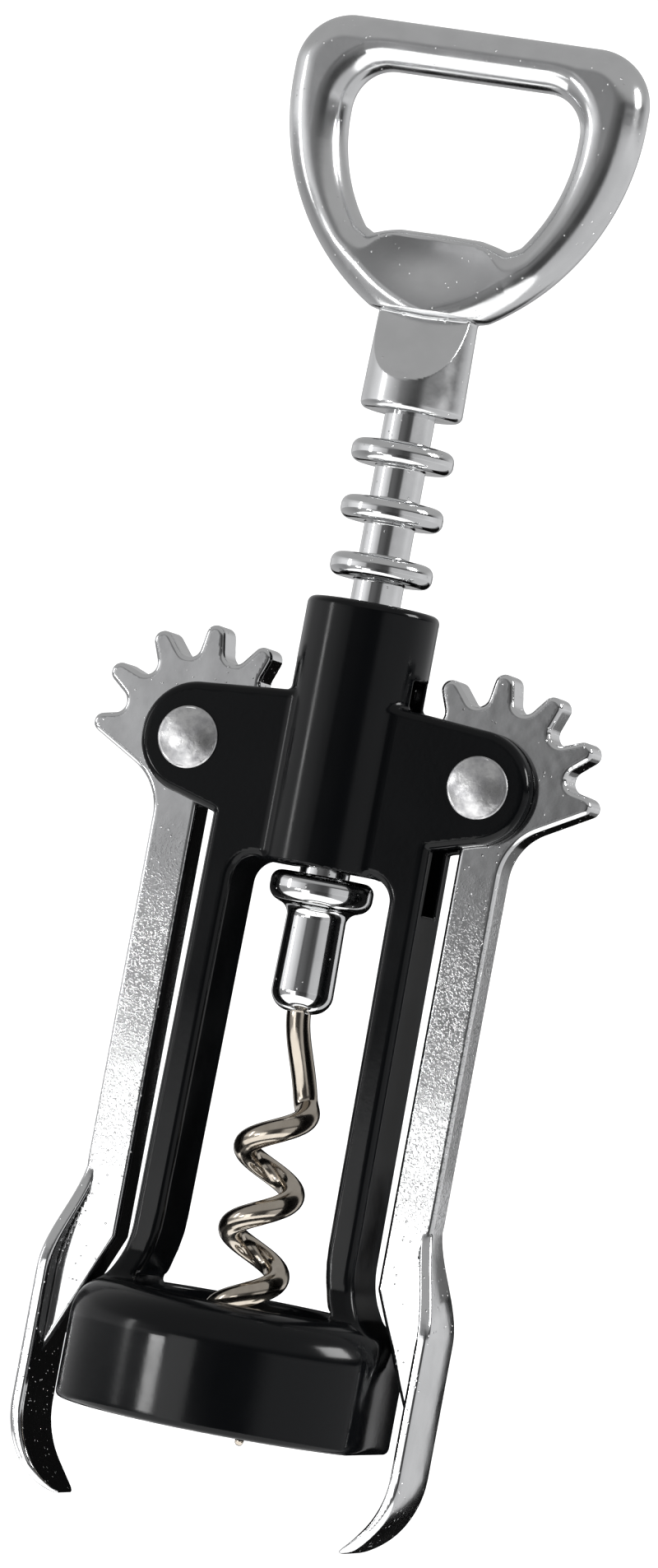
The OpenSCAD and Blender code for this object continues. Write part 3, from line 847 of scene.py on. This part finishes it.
def head_profile():
    """The dome of a rivet, from its rim to the middle."""
    rim, roll = 0.3, 0.25
    rise = HEAD_H - rim
    dome = (HEAD_R**2 + rise**2) / (2 * rise)
    half = math.degrees(math.asin(HEAD_R / dome))
    points = [(HEAD_R - roll * 0.3, 0), (HEAD_R, roll * 0.5), (HEAD_R, rim * 0.8)]
    return points + arc((0, HEAD_H - dome), dome, 90 - half, 90, 0.7)[1:]


def make_rivet(name, x, side, seed, stem):
    """A rivet half: its domed, lightly dented head on the wing's face and its stem inside."""
    points, faces = lathe(stem + head_profile(), 96)
    face = POST_HALF
    radial = np.hypot(points[:, 0], points[:, 1])
    dented = (points[:, 2] > 0.25) & (radial < HEAD_R - 0.2)
    across, along = points[:, 0] + 40, points[:, 1] + 40
    wide_dent, small_dent = 0.03, 0.012
    dents = wide_dent * waves(across, along, 1.9, seed) + small_dent * waves(across, along, 0.7, seed + 5)
    points[:, 2] += np.where(dented, dents - wide_dent - small_dent, 0)
    u, v, w = points.T
    placed = np.stack([x + side * u, -side * (face + w), PIVOT_Z + v], 1)
    node = "rivet_" + name
    crisp(mesh_piece("rivet_head_" + name, placed, faces, ALUMINIUM, "body", [node]))


def make_rivets():
    """Male halves at the front with a pin, female halves at the back with a sleeve the lever turns on."""
    pin = -(2 * POST_HALF - 1.4)
    sleeve = -(2 * POST_HALF - 0.3)
    male = [(0, pin), (PIN_R - 0.15, pin), (PIN_R, pin + 0.2), (PIN_R, 0)]
    female = [(0, -1), (PIN_R, -1), (PIN_R, sleeve), (SLEEVE_R, sleeve), (SLEEVE_R, 0)]
    for name, x, seed in (("left", -PIVOT_X, 3), ("right", PIVOT_X, 8)):
        make_rivet(name + "_male", x, 1, seed, male)
        make_rivet(name + "_female", x, -1, seed + 1, female)


# ---------------------------------------------------------------- worm

COIL_R = 3.35
WORM_PITCH = 10.05
STRAIGHT_Z, COIL_Z = 51.5, 39.2
WORM_TIP = -1.7
POINT_LEN, POINT_PULL = 9.0, 0.9
RIGHT_Z, RIGHT_ANGLE = 38.9, 18.0


def worm_line(z):
    """The middle of the wire at height z: a helix that stops turning and straightens into the shank."""
    above = np.maximum(z - RIGHT_Z, 0)
    wound = np.minimum(z - RIGHT_Z, 0) + above / np.sqrt(1 + above**2)
    angle = np.radians(RIGHT_ANGLE + 360 * wound / WORM_PITCH)
    out = COIL_R * ease(STRAIGHT_Z, COIL_Z, z) - POINT_PULL * ease(WORM_TIP + POINT_LEN, WORM_TIP, z)
    return np.stack([out * np.cos(angle), out * np.sin(angle), z], -1)


def make_worm():
    """A round wire swept along its line and drawn out to a point."""
    sides, rings, shank_rings = 28, 460, 20
    shank = np.linspace(worm_high[2], STRAIGHT_Z, shank_rings)[:-1]
    z = np.concatenate([shank, np.linspace(STRAIGHT_Z, WORM_TIP, rings)])
    line = worm_line(z)
    along = np.gradient(line, axis=0)
    along /= np.linalg.norm(along, axis=1)[:, None]
    overshoot, fullness, blunt = 3, 0.6, 0.08
    taper = ease(WORM_TIP - overshoot, WORM_TIP + POINT_LEN, z) ** fullness
    radius = WIRE_R * np.where(z > WORM_TIP + 0.01, taper, blunt)
    side, points = np.array([1.0, 0, 0]), []
    angles = np.linspace(0, 2 * math.pi, sides, endpoint=False)
    for p, a, r in zip(line, along, radius):
        side = side - (side @ a) * a
        side /= np.linalg.norm(side)
        out = np.cross(a, side)
        points += [p + r * (math.cos(t) * side + math.sin(t) * out) for t in angles]
    faces = [tuple(range(sides))]
    for i in range(len(z) - 1):
        for s in range(sides):
            t = (s + 1) % sides
            faces.append((i * sides + s, (i + 1) * sides + s, (i + 1) * sides + t, i * sides + t))
    faces.append(tuple(range(len(z) * sides - 1, (len(z) - 1) * sides - 1, -1)))
    mesh_piece("wire_worm", np.array(points), faces, NICKEL, "spindle", ["worm"])


make_body()
make_levers()
make_handle()
make_rod()
make_holder()
make_rivets()
make_worm()

# ---------------------------------------------------------------- floor, light and camera

CAMERA_AZIMUTH = 18.0
CAMERA_ROLL = 10.6
CAMERA_DISTANCE = 0.85
CAMERA_LENS = 160.6
EYE_HEIGHT = 54.0
AIM_HEIGHT = 78.9
AIM_SIDE = -1.5


def direction(azimuth, elevation):
    a, e = math.radians(azimuth), math.radians(elevation)
    return Vector((math.sin(a) * math.cos(e), -math.cos(a) * math.cos(e), math.sin(e)))


def make_camera():
    """A long lens a little to the right of the front, rolled as the picture is."""
    data = bpy.data.cameras.new("camera")
    data.lens = CAMERA_LENS
    camera = bpy.data.objects.new("camera", data)
    bpy.context.scene.collection.objects.link(camera)
    across = direction(CAMERA_AZIMUTH + 90, 0)
    aim = across * AIM_SIDE * MM + Vector((0, 0, (AIM_HEIGHT + RIM_HEIGHT) * MM))
    eye = direction(CAMERA_AZIMUTH, 0) * CAMERA_DISTANCE + Vector((0, 0, (EYE_HEIGHT + RIM_HEIGHT) * MM))
    turn = (aim - eye).to_track_quat("-Z", "Y").to_matrix().to_4x4()
    camera.matrix_world = Matrix.Translation(eye) @ turn @ Matrix.Rotation(math.radians(CAMERA_ROLL), 4, "Z")
    bpy.context.scene.camera = camera


FLOOR_GLOW = 1.4
FLOOR_RADIUS, FLOOR_SHIFT = 0.21, 0.1
FLOOR_HEIGHT = cad_box[0].z - 0.06


def stage_piece(name, points, faces, glow, **values):
    """A plain, evenly glowing sheet of the studio, in metres."""
    data = bpy.data.meshes.new(name)
    data.from_pydata(points, [], faces)
    sheet = bpy.data.objects.new(name, data)
    bpy.context.scene.collection.objects.link(sheet)
    made, shader = finish(name, **values)
    shader.inputs["Emission Color"].default_value = (1, 1, 1, 1)
    shader.inputs["Emission Strength"].default_value = glow
    data.materials.append(made)
    return sheet


def make_floor():
    """A pale table some way below the object, which hangs in the studio as it does in the picture."""
    sides = 96
    middle = direction(-CAMERA_AZIMUTH, 0) * FLOOR_SHIFT
    ring = []
    for i in range(sides):
        a = 2 * math.pi * i / sides
        x, y = middle.x + FLOOR_RADIUS * math.cos(a), middle.y + FLOOR_RADIUS * math.sin(a)
        ring.append((x, y, FLOOR_HEIGHT))
    grey = (0.4, 0.4, 0.4, 1)
    stage_piece("floor", ring, [tuple(range(sides))], FLOOR_GLOW, Roughness=0.9, Base_Color=grey)


# Dark cards behind the object: left, right, bottom and top edge in mm, and glow
CARD_BACK = 100
BACK_CARDS = {
    "black_card": (-75, 50, -84, 32, 0.0),
    "tall_black_card": (-75, 37, 32, 95, 0.0),
    "grey_card": (37, 54, 32, 95, 0.15),
}


def make_back_cards():
    """Cards out of the camera's sight, which the faces that look to the right reflect."""
    black = (0.005, 0.005, 0.005, 1)
    for name, (left, right, bottom, top, glow) in BACK_CARDS.items():
        edges = [(left, bottom), (right, bottom), (right, top), (left, top)]
        points = [(x * MM, CARD_BACK * MM, (z + RIM_HEIGHT) * MM) for x, z in edges]
        look = {"Roughness": 1.0, "Base_Color": black, "Specular_IOR_Level": 0.0}
        card = stage_piece(name, points, [(0, 1, 2, 3)], glow, **look)
        card.visible_camera = False


# The front card: its two edges as azimuths, its distance in metres, its top in mm and its glow
FRONT_CARD_START, FRONT_CARD_END = -27, -8
FRONT_CARD_DISTANCE, FRONT_CARD_TOP, FRONT_CARD_GLOW = 0.28, 39, 1.6


def make_front_card():
    """A low white card, out of the camera's sight, that lights the lower halves of the bars."""
    count = 12
    points, high = [], (FRONT_CARD_TOP + RIM_HEIGHT) * MM
    for i in range(count + 1):
        azimuth = FRONT_CARD_START + (FRONT_CARD_END - FRONT_CARD_START) * i / count
        place = direction(azimuth, 0) * FRONT_CARD_DISTANCE
        points += [(place.x, place.y, FLOOR_HEIGHT), (place.x, place.y, high)]
    faces = [(2 * i, 2 * i + 2, 2 * i + 3, 2 * i + 1) for i in range(count)]
    grey = (0.5, 0.5, 0.5, 1)
    card = stage_piece("front_card", points, faces, FRONT_CARD_GLOW, Roughness=1.0, Base_Color=grey)
    card.visible_camera = False
    card.visible_shadow = False
    card.visible_diffuse = False


# Azimuth, elevation, distance in metres, target height in mm, width and height in metres, radiance
LAMPS = {
    "left_strip": (-60, 4, 1.3, 100, 0.1, 0.5, 8),
    "low_left_spot": (-36, 0, 0.9, -50, 0.16, 0.06, 24),
    "right_box": (94, 27, 1.4, PIVOT_Z, 0.5, 0.5, 16),
}


def make_lamp(name, azimuth, elevation, distance, target, width, height, radiance):
    """A soft lamp that faces a height on the axis, as bright as radiance where it is reflected."""
    data = bpy.data.lights.new(name, "AREA")
    data.shape = "RECTANGLE"
    data.size, data.size_y = width, height
    data.energy = radiance * math.pi * width * height
    lamp = bpy.data.objects.new(name, data)
    away = direction(azimuth, elevation)
    lamp.location = away * distance + Vector((0, 0, (target + RIM_HEIGHT) * MM))
    lamp.rotation_euler = (-away).to_track_quat("-Z", "Y").to_euler()
    lamp.visible_camera = False
    bpy.context.scene.collection.objects.link(lamp)


# How bright the studio is at the horizon by azimuth: dark on the camera's side, brightest on its left
SIDE_LIGHT = (
    (-180, 0.25), (-150, 0.4), (-134, 0.75), (-105, 0.65), (-85, 1.0), (-63, 1.15), (-47, 1.15), (-36, 0.9),
    (-28, 0.7), (-20.5, 0.6), (-18, 0.42), (-16, 0.13), (-7, 0.16), (6, 0.13), (18, 0.08), (32, 0.1),
    (40, 0.6), (60, 0.68), (90, 0.68), (116, 0.85), (140, 0.75), (168, 0.75), (175, 0.4),
    (180, 0.25),
)
# The same more than a few degrees higher, just under the horizon, and further down towards the table
HIGH_LIGHT = (
    (-180, 0.35), (-134, 0.6), (-105, 0.65), (-80, 0.9), (-60, 0.85), (-45, 0.7), (-33, 0.45), (-18, 0.27),
    (-5, 0.17), (10, 0.08), (25, 0.04), (42, 0.1), (60, 0.12), (90, 0.05), (115, 0.02), (130, 0.35),
    (150, 0.65), (172, 0.65), (180, 0.4),
)
LOW_LIGHT = (
    (-180, 0.35), (-150, 0.6), (-120, 0.9), (-100, 0.6), (-60, 0.9), (-40, 0.9), (-26, 0.45), (-18, 0.3),
    (-8, 0.22), (9, 0.06), (32, 0.06), (45, 0.9), (120, 0.9), (140, 0.8), (165, 0.7), (180, 0.4),
)
TABLE_LIGHT = (
    (-180, 0.35), (-134, 0.5), (-100, 0.4), (-75, 0.3), (-50, 0.5), (-18, 0.33), (8, 0.06), (32, 0.06),
    (45, 0.6), (100, 0.7), (165, 0.7), (180, 0.4),
)
TOP_LIGHT = 0.47
BACKDROP = 1.3
# Sines of the elevations between which each band of the studio gives way to the next
TABLE_TO_LOW = (-0.06, -0.035)
LOW_TO_SIDE = (-0.026, 0.0)
SIDE_TO_HIGH = (0.085, 0.11)
HIGH_TO_TOP = (0.17, 0.4)


def make_world():
    """A light tent seen in the reflections; the camera itself sees a plain white backdrop."""
    world = bpy.data.worlds.new("studio")
    bpy.context.scene.world = world
    world.use_nodes = True
    nodes, links = world.node_tree.nodes, world.node_tree.links

    def node(kind, **settings):
        """A new node of the world, with its settings."""
        new = nodes.new("ShaderNode" + kind)
        for key, value in settings.items():
            setattr(new, key, value)
        return new

    def ramp(levels):
        """Brightness by azimuth."""
        new = node("ValToRGB")
        stops = new.color_ramp.elements
        for index, (azimuth, value) in enumerate(levels):
            place = (azimuth + 180) / 360
            stop = stops[index] if index < 2 else stops.new(place)
            stop.position, stop.color = place, (value, value, value * 1.01, 1)
        links.new(turn.outputs["Result"], new.inputs["Fac"])
        return new.outputs["Color"]

    def share(source, band):
        """How far a value has come through a band, from 0 to 1."""
        new = node("MapRange", interpolation_type="SMOOTHSTEP")
        new.inputs["From Min"].default_value = band[0]
        new.inputs["From Max"].default_value = band[1]
        links.new(source, new.inputs["Value"])
        return new.outputs["Result"]

    def blend(amount, first, second):
        """From the first to the second, each of them a brightness or a node's output."""
        new = node("MixRGB")
        links.new(amount, new.inputs["Fac"])
        for socket, value in ((new.inputs["Color1"], first), (new.inputs["Color2"], second)):
            if isinstance(value, float):
                socket.default_value = (value, value, value, 1)
            else:
                links.new(value, socket)
        return new.outputs["Color"]

    place = node("TexCoord")
    split = node("SeparateXYZ")
    links.new(place.outputs["Generated"], split.inputs["Vector"])
    back = node("Math", operation="MULTIPLY")
    back.inputs[1].default_value = -1
    links.new(split.outputs["Y"], back.inputs[0])
    azimuth = node("Math", operation="ARCTAN2")
    links.new(split.outputs["X"], azimuth.inputs[0])
    links.new(back.outputs[0], azimuth.inputs[1])
    turn = node("MapRange")
    turn.inputs["From Min"].default_value = -math.pi
    turn.inputs["From Max"].default_value = math.pi
    links.new(azimuth.outputs[0], turn.inputs["Value"])
    up = split.outputs["Z"]
    tent = blend(share(up, SIDE_TO_HIGH), ramp(SIDE_LIGHT), ramp(HIGH_LIGHT))
    tent = blend(share(up, HIGH_TO_TOP), tent, TOP_LIGHT)
    table = blend(share(up, TABLE_TO_LOW), ramp(TABLE_LIGHT), ramp(LOW_LIGHT))
    tent = blend(share(up, LOW_TO_SIDE), table, tent)
    path = node("LightPath")
    seen = blend(path.outputs["Is Camera Ray"], tent, BACKDROP)
    links.new(seen, nodes["Background"].inputs["Color"])


make_camera()
make_floor()
make_back_cards()
make_front_card()
make_world()
for lamp_name, settings in LAMPS.items():
    make_lamp(lamp_name, *settings)
bpy.context.scene.view_settings.view_transform = "Standard"
